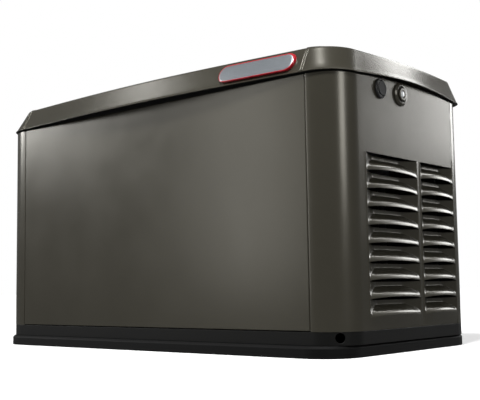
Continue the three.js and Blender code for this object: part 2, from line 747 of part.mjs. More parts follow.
function fuelPipe() {
  const { x, z, radius } = FUEL;
  const y = REGULATOR.y;
  const route = [
    [x, 316, z], [x, 290, z], [x, 236, z], [x, y + 4, z + 38], [x, y, z + 90], [x, y, REGULATOR.z - 46.4],
  ];
  return tube(route, radius, 20, 10);
}

// ---- controls ----
const CONTROL = { x0: WALL.control + SHEET + GAP, x1: 536, y0: -270, y1: -120, top: 600 };
const BUTTON = { y: -232, radius: 9, xs: { auto: 350, off: 385, manual: 420 } };
const BREAKER = { x: 495, y: -200, z: 596 };
const DISPLAY = { x0: 334.6, x1: 435.4, y0: -205.4, y1: -164.6 };

function controlBox() {
  const { x0, x1, y0, y1, top } = CONTROL;
  const shell = prism([[y0, 500], [y1, 470], [y1, top], [y0, top]], "x", x0, x1);
  const wellRadius = BUTTON.radius + 0.6;
  const wells = Object.values(BUTTON.xs).map((x) => cylinder("z", [x, BUTTON.y, top], wellRadius, 14, 20));
  const { x, y } = BREAKER;
  const slot = box(x - 9, x + 9, y - 26, y + 26, top - 14, top + 1);
  const recess = box(DISPLAY.x0, DISPLAY.x1, DISPLAY.y0, DISPLAY.y1, top - 3, top + 1);
  return cut(shell, ...wells, slot, recess);
}

function modeButton(x) {
  const base = CONTROL.top - 4.6;
  const [radius, height, chamfer] = [BUTTON.radius, 8, 1.5];
  return spindle("z", [x, BUTTON.y, 0], [
    [0, base], [radius, base], [radius, base + height - chamfer],
    [radius - chamfer, base + height], [0, base + height],
  ], 20);
}

function breakerToggle() {
  const { x, y, z } = BREAKER;
  const lever = join(cylinder("x", [x, y, z], 6, 16, 16), box(x - 6, x + 6, y - 3, y + 3, z, z + 20));
  return turn(lever, "x", 28, [x, y, z]);
}

// ---- gas strut ----
function alongStrut(build) {
  const [[fy, fz], [hy, hz]] = [STRUT.foot, STRUT.head];
  const length = Math.hypot(hy - fy, hz - fz);
  const lean = THREE.MathUtils.radToDeg(Math.atan2(fy - hy, hz - fz));
  return turn(build(length, fy, fz), "x", lean, [STRUT.x, fy, fz]);
}

function strutBarrel() {
  return alongStrut((_, y, z) => {
    const body = cylinder("z", [STRUT.x, y, z + 77.5], STRUT.barrel, 145, 16);
    const eye = cylinder("x", [STRUT.x, y, z], STRUT.eye, 10, 12);
    return cut(join(body, eye), cylinder("z", [STRUT.x, y, z + 90], STRUT.rod + 1.2, 156, 12));
  });
}

function strutRod() {
  return alongStrut((length, y, z) => join(
    cylinder("z", [STRUT.x, y, z + (length + 14) / 2], STRUT.rod, length - 14, 12),
    cylinder("x", [STRUT.x, y, z + length], STRUT.eye, 10, 12),
  ));
}

// ---- assembly ----
piece("mounting_pad", mountingPad(), padPlastic);
piece("base_frame", baseFrame(), frameCoat);
piece("front_panel", flatPanel(-1), powderCoat);
piece("intake_end_panel", join(endPanel(SEAM.right, LOUVRE.rows, [LOCK, STATUS]), strutStud()), powderCoat);
piece("exhaust_end_panel", mirrorX(endPanel(-SEAM.left, LOUVRE.outletRows, [LOCK])), powderCoat);
piece("rear_panel", rearPanel(), powderCoat);
piece("exhaust_divider", exhaustDivider(), aluminised);
piece("control_partition", controlPartition(), aluminised);

piece("lid", lid(), powderCoat);
piece("lid_seal", lidSeal(), rubber);
piece("badge_bezel", cut(badgeSlab(0, GAP, 4), badgeSlab(3.5, -1, 9)), redTrim);
piece("badge_plate", badgeSlab(3.9, GAP, 5), silverPlate);
for (const [side, x] of [["left", -HINGE.x], ["right", HINGE.x]]) {
  piece("hinge_bracket_" + side, hingeBracket(x), blackSteel);
  piece("hinge_leaf_" + side, hingeLeaf(x), blackSteel);
}

piece("lock_barrel_right", lockBarrel(), blackSteel);
piece("lock_core_right", lockCore(), brightSteel);
piece("lock_cover_right", lockCover(), rubber);
piece("lock_barrel_left", mirrorX(lockBarrel()), blackSteel);
piece("lock_core_left", mirrorX(lockCore()), brightSteel);
piece("lock_cover_left", mirrorX(lockCover()), rubber);
piece("status_bezel", statusBezel(), powderCoat);
piece("status_lens", statusLens(), paleLens);
piece("strut_barrel", strutBarrel(), blackSteel);
piece("strut_rod", strutRod(), brightSteel);

piece("engine_cradle", cradle(), blackSteel);
[[-280, -1], [-280, 1], [150, -1], [150, 1]].forEach(([x, side], i) => {
  piece("vibration_mount_" + (i + 1), vibrationMount(x, CRANK.y + side * SUPPORT.reach), rubber);
});
piece("crankcase", crankcase(), castAluminium);
for (const [name, x, side] of [["front", 25, -1], ["rear", 85, 1]]) {
  piece("cylinder_" + name, bank(finnedCylinder, x, side), castAluminium);
  piece("rocker_cover_" + name, bank(rockerCover, x, side), blackSteel);
  piece("exhaust_pipe_" + name, exhaustPipe(x, side), aluminised);
}
piece("blower_housing", blowerHousing(), blackSteel);
piece("flywheel_fan", flywheelFan(), castAluminium);
piece("crankshaft", crankshaft(), brightSteel);
piece("alternator_rotor", alternatorRotor(), copper);
piece("alternator_stator", alternatorStator(), blackSteel);
piece("bearing_carrier", bearingCarrier(), castAluminium);
piece("muffler", muffler(), aluminised);
piece("mixer_body", mixerBody(), castAluminium);
piece("throttle_plate", throttlePlate(), brass);
piece("air_cleaner", airCleaner(), blackPlastic);
piece("oil_filter", oilFilter(), redPaint);
piece("dipstick", dipstick(), redTrim);
piece("starter_motor", starterMotor(), blackSteel);
piece("battery", battery(), blackPlastic);
piece("fuel_regulator", fuelRegulator(), castAluminium);
piece("fuel_pipe", fuelPipe(), blackSteel);
piece("conduit_gland", conduitGland(), blackPlastic);
piece("control_box", controlBox(), blackPlastic);
for (const [name, x] of Object.entries(BUTTON.xs)) {
  piece("button_" + name, modeButton(x), blackPlastic);
}
piece("breaker_toggle", breakerToggle(), blackPlastic);

export default generator;
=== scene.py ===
"""The looks of a home standby generator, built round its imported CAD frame.

Metres, in the frame of the CAD part: +X towards the intake end, +Y towards the rear, +Z up.
"""

import json
import math

import bmesh
import bpy
from mathutils import Matrix, Vector
from mathutils.bvhtree import BVHTree


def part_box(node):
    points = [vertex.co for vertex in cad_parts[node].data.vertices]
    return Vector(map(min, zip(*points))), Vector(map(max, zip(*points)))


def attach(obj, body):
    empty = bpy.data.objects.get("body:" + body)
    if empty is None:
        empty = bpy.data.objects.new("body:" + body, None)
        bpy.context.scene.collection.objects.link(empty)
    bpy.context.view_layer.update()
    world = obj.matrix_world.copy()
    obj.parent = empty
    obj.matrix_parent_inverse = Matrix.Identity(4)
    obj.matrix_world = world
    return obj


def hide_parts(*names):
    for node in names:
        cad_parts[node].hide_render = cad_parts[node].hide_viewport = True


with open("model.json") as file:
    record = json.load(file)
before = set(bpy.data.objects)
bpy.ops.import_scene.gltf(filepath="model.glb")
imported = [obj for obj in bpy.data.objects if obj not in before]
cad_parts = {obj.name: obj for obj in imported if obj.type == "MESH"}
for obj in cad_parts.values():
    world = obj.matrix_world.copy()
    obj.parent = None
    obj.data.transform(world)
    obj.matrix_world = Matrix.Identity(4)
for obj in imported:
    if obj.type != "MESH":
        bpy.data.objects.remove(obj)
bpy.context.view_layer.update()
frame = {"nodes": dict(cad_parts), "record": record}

MM = 0.001

# ---- sizes taken from the frame ----
door_low, door_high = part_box("front_panel")
end_low, end_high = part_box("intake_end_panel")
lid_low, lid_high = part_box("lid")
pad_low, pad_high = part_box("mounting_pad")
base_low, base_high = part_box("base_frame")

MIDDLE_Y = (base_low.y + base_high.y) / 2
HALF_X = base_high.x
HALF_Y = (base_high.y - base_low.y) / 2
CORNER = 81 * MM
PANEL_LOW = end_low.z
PANEL_TOP = door_high.z
HEM_RISE = 2.5 * MM
CREST = end_high.z - door_high.z + HEM_RISE  # the finished hem stands a little above the CAD plate
SEAM_RIGHT = end_low.x
SEAM_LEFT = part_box("exhaust_end_panel")[1].x
RIM_Z = lid_low.z
TOP_Z = lid_high.z
END_BOW = 12 * MM
END_ARCH = 10 * MM
FRONT_BOW = 23 * MM
LID_SHEET = 4 * MM


# ---- node materials ----
def new_material(name):
    material = bpy.data.materials.new(name)
    material.use_nodes = True
    tree = material.node_tree
    shader = tree.nodes["Principled BSDF"]
    return material, tree, shader


def node(tree, kind, **values):
    made = tree.nodes.new(kind)
    for key, value in values.items():
        if key in made.inputs:
            made.inputs[key].default_value = value
        else:
            setattr(made, key, value)
    return made


def noise(tree, scale, detail=3.0, roughness=0.5, stretch=None):
    """A noise in object space; stretch scales its three axes."""
    place = node(tree, "ShaderNodeTexCoord")
    made = node(tree, "ShaderNodeTexNoise", Scale=scale, Detail=detail, Roughness=roughness)
    if stretch:
        mapping = node(tree, "ShaderNodeMapping", Scale=stretch)
        tree.links.new(place.outputs["Object"], mapping.inputs["Vector"])
        tree.links.new(mapping.outputs["Vector"], made.inputs["Vector"])
    else:
        tree.links.new(place.outputs["Object"], made.inputs["Vector"])
    return made


def ramp(tree, source, stops):
    made = node(tree, "ShaderNodeValToRGB")
    elements = made.color_ramp.elements
    while len(elements) < len(stops):
        elements.new(0.5)
    for element, (position, colour) in zip(elements, stops):
        element.position = position
        element.color = (*colour, 1)
    tree.links.new(source, made.inputs["Fac"])
    return made


def spread(tree, source, low, high):
    """Maps a 0 to 1 value onto low to high."""
    made = node(tree, "ShaderNodeMapRange")
    made.inputs["To Min"].default_value = low
    made.inputs["To Max"].default_value = high
    tree.links.new(source, made.inputs["Value"])
    return made


def bump(tree, shader, height, strength, distance, under=None):
    made = node(tree, "ShaderNodeBump", Strength=strength, Distance=distance)
    tree.links.new(height, made.inputs["Height"])
    if under:
        tree.links.new(under.outputs["Normal"], made.inputs["Normal"])
    tree.links.new(made.outputs["Normal"], shader.inputs["Normal"])
    return made


def shade(colour, factor):
    return tuple(c * factor for c in colour)


def rounded_edges(tree, radius):
    """The surface normal with its sharp edges rounded, and how close each point is to such an edge."""
    soft = node(tree, "ShaderNodeBevel", samples=4, Radius=radius)
    true = node(tree, "ShaderNodeNewGeometry")
    likeness = node(tree, "ShaderNodeVectorMath", operation="DOT_PRODUCT")
    tree.links.new(soft.outputs["Normal"], likeness.inputs[0])
    tree.links.new(true.outputs["Normal"], likeness.inputs[1])
    return soft, ramp(tree, likeness.outputs["Value"], [(0.86, (1, 1, 1)), (0.97, (0, 0, 0))])


def coated_metal(name, colour, roughness, metallic, grain=900, peel=0.12, dirt=0.05, wear=None, sheen=0.5):
    """Powder coat or paint: a fine orange peel, slow tone drift, faint smudges and worn edges."""
    material, tree, shader = new_material(name)
    drift = noise(tree, 3.5, 4)
    tone = ramp(tree, drift.outputs["Fac"], [(0.3, shade(colour, 0.95)), (0.7, shade(colour, 1.05))])
    fleck = noise(tree, grain * 1.6, 1)
    flecks = ramp(tree, fleck.outputs["Fac"], [(0.35, (0.88,) * 3), (0.65, (1.1,) * 3)])
    mixed = node(tree, "ShaderNodeMix", data_type="RGBA", blend_type="MULTIPLY")
    mixed.inputs["Factor"].default_value = 0.8
    tree.links.new(tone.outputs["Color"], mixed.inputs["A"])
    tree.links.new(flecks.outputs["Color"], mixed.inputs["B"])
    colour_out = mixed.outputs["Result"]
    soft, edge = rounded_edges(tree, 1.2 * MM)
    if wear:
        patchy = noise(tree, 40, 6, 0.65)
        patches = ramp(tree, patchy.outputs["Fac"], [(0.47, (0, 0, 0)), (0.6, (0.8, 0.8, 0.8))])
        product = node(tree, "ShaderNodeMath", operation="MULTIPLY")
        tree.links.new(edge.outputs["Color"], product.inputs[0])
        tree.links.new(patches.outputs["Color"], product.inputs[1])
        worn = node(tree, "ShaderNodeMix", data_type="RGBA")
        tree.links.new(product.outputs["Value"], worn.inputs["Factor"])
        tree.links.new(colour_out, worn.inputs["A"])
        worn.inputs["B"].default_value = (*wear, 1)
        colour_out = worn.outputs["Result"]
    tree.links.new(colour_out, shader.inputs["Base Color"])
    smudge = noise(tree, 7, 5, 0.6)
    gloss = spread(tree, smudge.outputs["Fac"], roughness - dirt, roughness + dirt)
    tree.links.new(gloss.outputs["Result"], shader.inputs["Roughness"])
    shader.inputs["Metallic"].default_value = metallic
    shader.inputs["Specular IOR Level"].default_value = sheen
    fine = noise(tree, grain, 2)
    bump(tree, shader, fine.outputs["Fac"], peel, 0.0003, soft)
    return material


def plastic(name, colour, roughness, grain=1400, texture=0.25, sheen=0.5):
    """Moulded plastic: a fine eggshell grain with a slightly uneven sheen."""
    material, tree, shader = new_material(name)
    drift = noise(tree, 9, 4)
    tone = ramp(tree, drift.outputs["Fac"], [(0.3, shade(colour, 0.82)), (0.7, shade(colour, 1.2))])
    tree.links.new(tone.outputs["Color"], shader.inputs["Base Color"])
    gloss = spread(tree, drift.outputs["Fac"], roughness - 0.07, roughness + 0.07)
    tree.links.new(gloss.outputs["Result"], shader.inputs["Roughness"])
    shader.inputs["Specular IOR Level"].default_value = sheen
    cells = node(tree, "ShaderNodeTexVoronoi", Scale=grain)
    place = node(tree, "ShaderNodeTexCoord")
    tree.links.new(place.outputs["Object"], cells.inputs["Vector"])
    bump(tree, shader, cells.outputs["Distance"], texture, 0.0004)
    return material


def rubber(name, colour):
    material, tree, shader = new_material(name)
    bloom = noise(tree, 45, 5, 0.65)
    tone = ramp(tree, bloom.outputs["Fac"], [(0.35, colour), (0.75, shade(colour, 2.1))])
    tree.links.new(tone.outputs["Color"], shader.inputs["Base Color"])
    gloss = spread(tree, bloom.outputs["Fac"], 0.62, 0.9)
    tree.links.new(gloss.outputs["Result"], shader.inputs["Roughness"])
    fine = noise(tree, 700, 2)
    bump(tree, shader, fine.outputs["Fac"], 0.3, 0.0004)
    return material


def cast_metal(name, colour, roughness=0.52):
    """Sand-cast aluminium: a pebbled skin with darker and lighter oily patches at random."""
    material, tree, shader = new_material(name)
    patches = noise(tree, 18, 6, 0.62)
    stops = [(0.3, shade(colour, 0.6)), (0.55, colour), (0.8, shade(colour, 1.15))]
    tone = ramp(tree, patches.outputs["Fac"], stops)
    tree.links.new(tone.outputs["Color"], shader.inputs["Base Color"])
    gloss = spread(tree, patches.outputs["Fac"], roughness + 0.15, roughness - 0.12)
    tree.links.new(gloss.outputs["Result"], shader.inputs["Roughness"])
    shader.inputs["Metallic"].default_value = 0.85
    pebble = noise(tree, 420, 4, 0.6)
    bump(tree, shader, pebble.outputs["Fac"], 0.45, 0.0007)
    return material


def drawn_metal(name, colour, roughness, stretch, lines=90):
    """Ground, turned or brushed metal, streaked along one axis."""
    material, tree, shader = new_material(name)
    streaks = noise(tree, lines, 4, 0.6, stretch)
    tone = ramp(tree, streaks.outputs["Fac"], [(0.3, shade(colour, 0.8)), (0.7, shade(colour, 1.12))])
    tree.links.new(tone.outputs["Color"], shader.inputs["Base Color"])
    gloss = spread(tree, streaks.outputs["Fac"], roughness - 0.06, roughness + 0.12)
    tree.links.new(gloss.outputs["Result"], shader.inputs["Roughness"])
    shader.inputs["Metallic"].default_value = 0.95
    bump(tree, shader, streaks.outputs["Fac"], 0.12, 0.0003)
    return material


def heat_stained(name, colour):
    """Aluminised sheet that has run hot: straw and blue bands over a spangled grey."""
    material, tree, shader = new_material(name)
    bands = noise(tree, 5, 5, 0.6)
    straw, blue = (0.42, 0.30, 0.17), (0.20, 0.22, 0.27)
    stops = [(0.3, shade(colour, 0.8)), (0.5, colour), (0.66, straw), (0.8, blue)]
    tone = ramp(tree, bands.outputs["Fac"], stops)
    tree.links.new(tone.outputs["Color"], shader.inputs["Base Color"])
    spangle = node(tree, "ShaderNodeTexVoronoi", Scale=160)
    place = node(tree, "ShaderNodeTexCoord")
    tree.links.new(place.outputs["Object"], spangle.inputs["Vector"])
    gloss = spread(tree, spangle.outputs["Distance"], 0.35, 0.6)
    tree.links.new(gloss.outputs["Result"], shader.inputs["Roughness"])
    shader.inputs["Metallic"].default_value = 0.8
    fine = noise(tree, 300, 3)
    bump(tree, shader, fine.outputs["Fac"], 0.15, 0.0004)
    return material


def wound_copper(name):
    """Varnished windings: tight turns round the shaft's axis."""
    material, tree, shader = new_material(name)
    turns = node(tree, "ShaderNodeTexWave", Scale=160, Distortion=0.6)
    turns.bands_direction = "X"
    place = node(tree, "ShaderNodeTexCoord")
    tree.links.new(place.outputs["Object"], turns.inputs["Vector"])
    tone = ramp(tree, turns.outputs["Fac"], [(0.1, (0.12, 0.045, 0.02)), (0.8, (0.48, 0.2, 0.09))])
    tree.links.new(tone.outputs["Color"], shader.inputs["Base Color"])
    shader.inputs["Roughness"].default_value = 0.36
    shader.inputs["Metallic"].default_value = 0.7
    bump(tree, shader, turns.outputs["Fac"], 0.5, 0.0006)
    return material


def milky_lens_painted_glow(name):
    material, tree, shader = new_material(name)
    rings = noise(tree, 260, 2)
    tone = ramp(tree, rings.outputs["Fac"], [(0.3, (0.55, 0.57, 0.58)), (0.7, (0.66, 0.68, 0.69))])
    tree.links.new(tone.outputs["Color"], shader.inputs["Base Color"])
    shader.inputs["Roughness"].default_value = 0.22
    shader.inputs["Coat Weight"].default_value = 0.4
    # painted glow: a faint bluish-white emission makes the lens shine as if lit from inside
    shader.inputs["Emission Color"].default_value = (0.9, 0.95, 1, 1)
    shader.inputs["Emission Strength"].default_value = 0.04
    bump(tree, shader, rings.outputs["Fac"], 0.06, 0.0003)
    return material


COAT = (0.064, 0.059, 0.044)
FRAME_COAT = (0.008, 0.008, 0.0075)
MATERIALS = {
    "powder_coat": coated_metal("powder_coat", COAT, 0.25, 0.35, wear=(0.16, 0.155, 0.14)),
    "frame_coat": coated_metal("frame_coat", FRAME_COAT, 0.5, 0.1, wear=(0.06, 0.06, 0.058), sheen=0.15),
    "pad_plastic": plastic("pad_plastic", (0.003, 0.003, 0.003), 0.65, 500, 0.4, 0.15),
    "black_steel": coated_metal("black_steel", (0.018, 0.018, 0.017), 0.45, 0.25, wear=(0.2, 0.2, 0.2)),
    "aluminised": heat_stained("aluminised", (0.36, 0.355, 0.34)),
    "cast_aluminium": cast_metal("cast_aluminium", (0.42, 0.43, 0.44)),
    "bright_steel": drawn_metal("bright_steel", (0.55, 0.55, 0.56), 0.28, (1, 12, 12)),
    "copper_windings": wound_copper("copper_windings"),
    "brass": drawn_metal("brass", (0.62, 0.42, 0.17), 0.3, (12, 12, 1)),
    "rubber": rubber("rubber", (0.010, 0.010, 0.010)),
    "black_plastic": plastic("black_plastic", (0.016, 0.016, 0.018), 0.48),
    "silver_plate": drawn_metal("silver_plate", (0.38, 0.41, 0.44), 0.36, (1, 40, 40), 60),
    "red_trim": coated_metal("red_trim", (0.42, 0.008, 0.018), 0.28, 0.0, 1200, 0.05),
    "red_paint": coated_metal("red_paint", (0.32, 0.010, 0.010), 0.34, 0.0, 700, 0.1, wear=(0.5, 0.45, 0.42)),
    "pale_lens": milky_lens_painted_glow("pale_lens"),
}


# ---- mesh helpers ----
SMOOTH_ANGLE = 35  # edges sharper than this stay sharp, in degrees, unless a piece names its own angle
BEVEL_ANGLE = 30  # edges sharper than this are rounded, in degrees
FLAT_ANGLE = 0.6  # faces closer than this merge into one flat, in degrees
NODE_ANGLE = 38  # edges sharper than this stay sharp on a CAD node's finished form, in degrees
WELD = 2e-6
CLEAR = 0.05  # rays start this far outside the surface that they look for


def mesh_object(name, vertices, faces, slot, smooth_angle=SMOOTH_ANGLE):
    mesh = bpy.data.meshes.new(name)
    mesh.from_pydata([tuple(v) for v in vertices], [], faces)
    mesh.validate()
    mesh.update()
    made = bpy.data.objects.new(name, mesh)
    bpy.context.scene.collection.objects.link(made)
    dress(made, slot, smooth_angle)
    return made


def dress(made, slot, smooth_angle=SMOOTH_ANGLE):
    made.data.materials.clear()
    made.data.materials.append(MATERIALS[slot])
    made.data.shade_smooth()
    made.data.set_sharp_from_angle(angle=math.radians(smooth_angle))


def place(made, body, *replaced):
    """Rides a piece on its body, and hides the CAD nodes that it stands for."""
    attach(made, body)
    if replaced:
        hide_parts(*replaced)
    return made


def add_bevel(made, width):
    modifier = made.modifiers.new("edge", "BEVEL")
    modifier.width = width
    modifier.segments = 2
    modifier.limit_method = "ANGLE"
    modifier.angle_limit = math.radians(BEVEL_ANGLE)
    even_normals(made)


def even_normals(made):
    """Lets the large faces decide the shading, so that flats stay flat beside their rounded edges."""
    even = made.modifiers.new("even", "WEIGHTED_NORMAL")
    even.keep_sharp = True


def bake_modifiers(made, slot, smooth_angle):
    """Turns the modified mesh into the piece's own mesh, then marks its sharp edges."""
    graph = bpy.context.evaluated_depsgraph_get()
    mesh = bpy.data.meshes.new_from_object(made.evaluated_get(graph))
    made.modifiers.clear()
    made.data = mesh
    dress(made, slot, smooth_angle)


def bore(made, centre, radius, reach, axis):
    """Cuts a round hole through a piece, along an axis."""
    tool = bmesh.new()
    bmesh.ops.create_cone(tool, cap_ends=True, segments=48, radius1=radius, radius2=radius, depth=reach)
    mesh = bpy.data.meshes.new("bore")
    tool.to_mesh(mesh)
    tool.free()
    cutter = bpy.data.objects.new("bore", mesh)
    turn = Vector(axis).to_track_quat("Z", "Y").to_matrix().to_4x4()
    cutter.matrix_world = Matrix.Translation(centre) @ turn
    bpy.context.scene.collection.objects.link(cutter)
    modifier = made.modifiers.new("bore", "BOOLEAN")
    modifier.operation = "DIFFERENCE"
    modifier.object = cutter
    bpy.context.view_layer.update()
    graph = bpy.context.evaluated_depsgraph_get()
    made.data = bpy.data.meshes.new_from_object(made.evaluated_get(graph))
    made.modifiers.clear()
    bpy.data.objects.remove(cutter)


def fix_normals(made):
    """Welds coincident points and turns every face outward."""
    work = bmesh.new()
    work.from_mesh(made.data)
    bmesh.ops.remove_doubles(work, verts=work.verts, dist=1e-6)
    bmesh.ops.recalc_face_normals(work, faces=work.faces)
    work.to_mesh(made.data)
    work.free()


def arc(cx, cy, radius, start, end, steps):
    turns = [start + (end - start) * i / steps for i in range(steps + 1)]
    return [(cx + radius * math.cos(a), cy + radius * math.sin(a)) for a in turns]


def lathe(name, centre, axis, profile, slot, sides=64, smooth_angle=30):
    """Revolves a profile of (radius, distance along the axis), in metres, into a closed body."""
    forward = Vector(axis).normalized()
    side = forward.orthogonal().normalized()
    up = forward.cross(side)
    vertices = []
    for i in range(sides):
        a = 2 * math.pi * i / sides
        out = side * math.cos(a) + up * math.sin(a)
        vertices += [Vector(centre) + out * r + forward * along for r, along in profile]
    count = len(profile)
    faces = []
    for i in range(sides):
        j = (i + 1) % sides
        for k in range(count - 1):
            faces.append((i * count + k, j * count + k, j * count + k + 1, i * count + k + 1))
        if profile[0][0] > 1e-6:
            faces.append((i * count + count - 1, j * count + count - 1, j * count, i * count))
    made = mesh_object(name, vertices, faces, slot, smooth_angle)
    fix_normals(made)
    dress(made, slot, smooth_angle)
    return made


def refine(name, slot, body, width):
    """A CAD node with its seams welded, its flats merged and its edges rounded."""
    source = frame["nodes"][name]
    work = bmesh.new()
    work.from_mesh(source.data)
    bmesh.ops.remove_doubles(work, verts=work.verts, dist=WELD)
    limit = math.radians(FLAT_ANGLE)
    bmesh.ops.dissolve_limit(work, angle_limit=limit, verts=work.verts, edges=work.edges)
    mesh = bpy.data.meshes.new(name + "_finished")
    work.to_mesh(mesh)
    work.free()
    made = bpy.data.objects.new(name + "_finished", mesh)
    bpy.context.scene.collection.objects.link(made)
    dress(made, slot, NODE_ANGLE)
    add_bevel(made, width)
    return place(made, body, name)


# ---- the camera ----
CAMERA_SPOT = Vector((1.6574, -1.8666 + MIDDLE_Y, 0.1532))
CAMERA_YAW = 40.414
CAMERA_PITCH = 5.658
CAMERA_ROLL = -0.015
CAMERA_LENS = 66.64
SENSOR = 36


def photo_camera():
    """A long lens, close to the ground, off the enclosure's near corner and looking a little up."""
    yaw = math.radians(CAMERA_YAW)
    pitch = math.radians(CAMERA_PITCH)
    forward = Vector((-math.sin(yaw) * math.cos(pitch), math.cos(yaw) * math.cos(pitch), math.sin(pitch)))
    level = Vector((math.cos(yaw), math.sin(yaw), 0))
    up = level.cross(forward)
    right = level * math.cos(CAMERA_ROLL) + up * math.sin(CAMERA_ROLL)
    upright = up * math.cos(CAMERA_ROLL) - level * math.sin(CAMERA_ROLL)
    data = bpy.data.cameras.new("camera")
    data.lens = CAMERA_LENS
    data.sensor_width = SENSOR
    camera = bpy.data.objects.new("camera", data)
    turn = Matrix((right, upright, -forward)).transposed().to_4x4()
    camera.matrix_world = Matrix.Translation(CAMERA_SPOT) @ turn
    bpy.context.scene.collection.objects.link(camera)
    bpy.context.scene.camera = camera


# ---- the stage ----
FLOOR_REACH = 30
GLOW_FROM, GLOW_TO = 0.8, 1.8  # the floor brightens into the backdrop between these distances


def stage():
    """A pale floor that melts into the white backdrop; what the object mirrors of it is darker."""
    material, tree, shader = new_material("studio_floor")
    mottle = noise(tree, 2, 3)
    tone = ramp(tree, mottle.outputs["Fac"], [(0.3, (0.80, 0.80, 0.80)), (0.7, (0.84, 0.84, 0.84))])
    tree.links.new(tone.outputs["Color"], shader.inputs["Base Color"])
    shader.inputs["Roughness"].default_value = 0.9
    shader.inputs["Emission Color"].default_value = (1, 1, 1, 1)
    place = node(tree, "ShaderNodeTexCoord")
    distance = node(tree, "ShaderNodeVectorMath", operation="LENGTH")
    tree.links.new(place.outputs["Object"], distance.inputs[0])
    glow = spread(tree, distance.outputs["Value"], 0.4, 1.0)
    glow.inputs["From Min"].default_value = GLOW_FROM
    glow.inputs["From Max"].default_value = GLOW_TO
    tree.links.new(glow.outputs["Result"], shader.inputs["Emission Strength"])
    mirrored = node(tree, "ShaderNodeBsdfDiffuse")
    mirrored.inputs["Color"].default_value = (0.16, 0.16, 0.16, 1)
    path = node(tree, "ShaderNodeLightPath")
    pick = node(tree, "ShaderNodeMixShader")
    tree.links.new(path.outputs["Is Camera Ray"], pick.inputs["Fac"])
    tree.links.new(mirrored.outputs["BSDF"], pick.inputs[1])
    tree.links.new(shader.outputs["BSDF"], pick.inputs[2])
    tree.links.new(pick.outputs["Shader"], tree.nodes["Material Output"].inputs["Surface"])
    corners = [(x * FLOOR_REACH, y * FLOOR_REACH, 0) for x, y in ((-1, -1), (1, -1), (1, 1), (-1, 1))]
    mesh = bpy.data.meshes.new("floor")
    mesh.from_pydata(corners, [], [(0, 1, 2, 3)])
    floor = bpy.data.objects.new("floor", mesh)
    floor.data.materials.append(material)
    bpy.context.scene.collection.objects.link(floor)


def softbox(name, spot, target, size, power):
    """An area light at a spot, turned towards a target."""
    data = bpy.data.lights.new(name, "AREA")
    data.shape = "RECTANGLE"
    data.size, data.size_y = size
    data.energy = power
    lamp = bpy.data.objects.new(name, data)
    lamp.location = spot
    lamp.rotation_euler = (Vector(target) - Vector(spot)).to_track_quat("-Z", "Y").to_euler()
    bpy.context.scene.collection.objects.link(lamp)


def lights():
    """White to the camera, dim to the object, with soft boxes round it."""
    world = bpy.data.worlds.new("studio")
    world.use_nodes = True
    tree = world.node_tree
    back = tree.nodes["Background"]
    path = node(tree, "ShaderNodeLightPath")
    level = node(tree, "ShaderNodeMapRange")
    level.inputs["To Min"].default_value = 0.16
    level.inputs["To Max"].default_value = 1.0
    tree.links.new(path.outputs["Is Camera Ray"], level.inputs["Value"])
    tree.links.new(level.outputs["Result"], back.inputs["Strength"])
    back.inputs["Color"].default_value = (1, 1, 1, 1)
    bpy.context.scene.world = world
    bpy.context.scene.view_settings.view_transform = "Standard"
    softbox("rear_right", (1.9, 4.7, 1.75), (0.6, 0, 0.55), (2.0, 1.3), 65)
    softbox("rear_high", (1.1, 3.9, 3.3), (0.6, 0, 0.7), (1.6, 0.6), 25)
    softbox("right_strip", (3.5, -0.75, 1.35), (0.56, -0.27, 0.5), (0.9, 1.2), 26)
    softbox("left", (-5.1, -2.8, 2.15), (-0.5, -0.3, 0.5), (0.9, 1.2), 135)
    softbox("front", (-2.05, -3.2, 1.0), (0.35, -0.3, 0.4), (0.4, 1.7), 9.5)
    softbox("key_left", (-2.45, -1.28, 2.97), (0, -0.3, 0.66), (0.5, 0.5), 6)
    softbox("key_right", (0.95, -1.7, 3.35), (0.56, -0.29, 0.66), (0.5, 0.5), 130)
    softbox("overhead", (0.0, 0.8, 3.4), (0, 0.2, 0.6), (2.6, 1.4), 3)


photo_camera()
stage()
lights()


# ---- end panels with pressed louvres; the sizes below without MM are in mm ----
LOUVRE_PITCH = 41 * MM
LOUVRE_BOTTOM = 82.4 * MM
COLUMNS = ((-192 * MM, 35 * MM), (51 * MM, 217 * MM))
LIP_FLAT = (0.0, 1.6, 3.4, 5.4, 7.4, 9.4, 11.4)  # heights of the lip's lines where it lies in the panel
LIP_FULL = ((5.4, 7.4), (6.1, 8.0), (8.1, 7.7), (10.1, 7.3), (12.2, 6.8), (14.4, 5.6), (16.8, 3.2))
LIP_LEAN = (0.0, 0.0, 0.35, 0.74, 1.13, 2.2, 3.9)  # how far the lip leans back where it lies in the panel
LEDGE_LOW, LEDGE_HIGH = 29.0, 39.4  # foot and top of the upright ledge behind a slot
DEPTH = 17.0  # how far in the ledge stands
SWELL_POWER = 0.65  # a lower power makes the lip reach its full swell sooner
FOLD = 2.4  # half the length of the rounded fold between a blade and its ledge
FACET = 0.22  # share of a louvre's width taken by the slanted facet at each end
JAMB = 4.0  # the fold where a facet leaves the panel is this wide
RIDGE = 0.9  # height of the pressed bead along each upright edge
RIDGE_SPOT, RIDGE_REACH = 0.4, 2.6  # its crest's distance outside the louvre, and its half width
GUARDS = (4.0, 2.2, 1.2, 0.4)  # columns of the flat panel just outside a louvre
NEAR_EDGE = (0, 0.8, 1.7, 2.8, 4, 6, 9)  # the sections nearest a louvre's ends
FACET_STEPS, MIDDLE_STEPS = 5, 14
TOE = 1.2  # the shortest rise between a lip and the fold above it
HEAD_GAP = 0.4  # what a slot leaves below the next lip
CORNER_ROUND = 5.0  # radius of the lip's upper corners
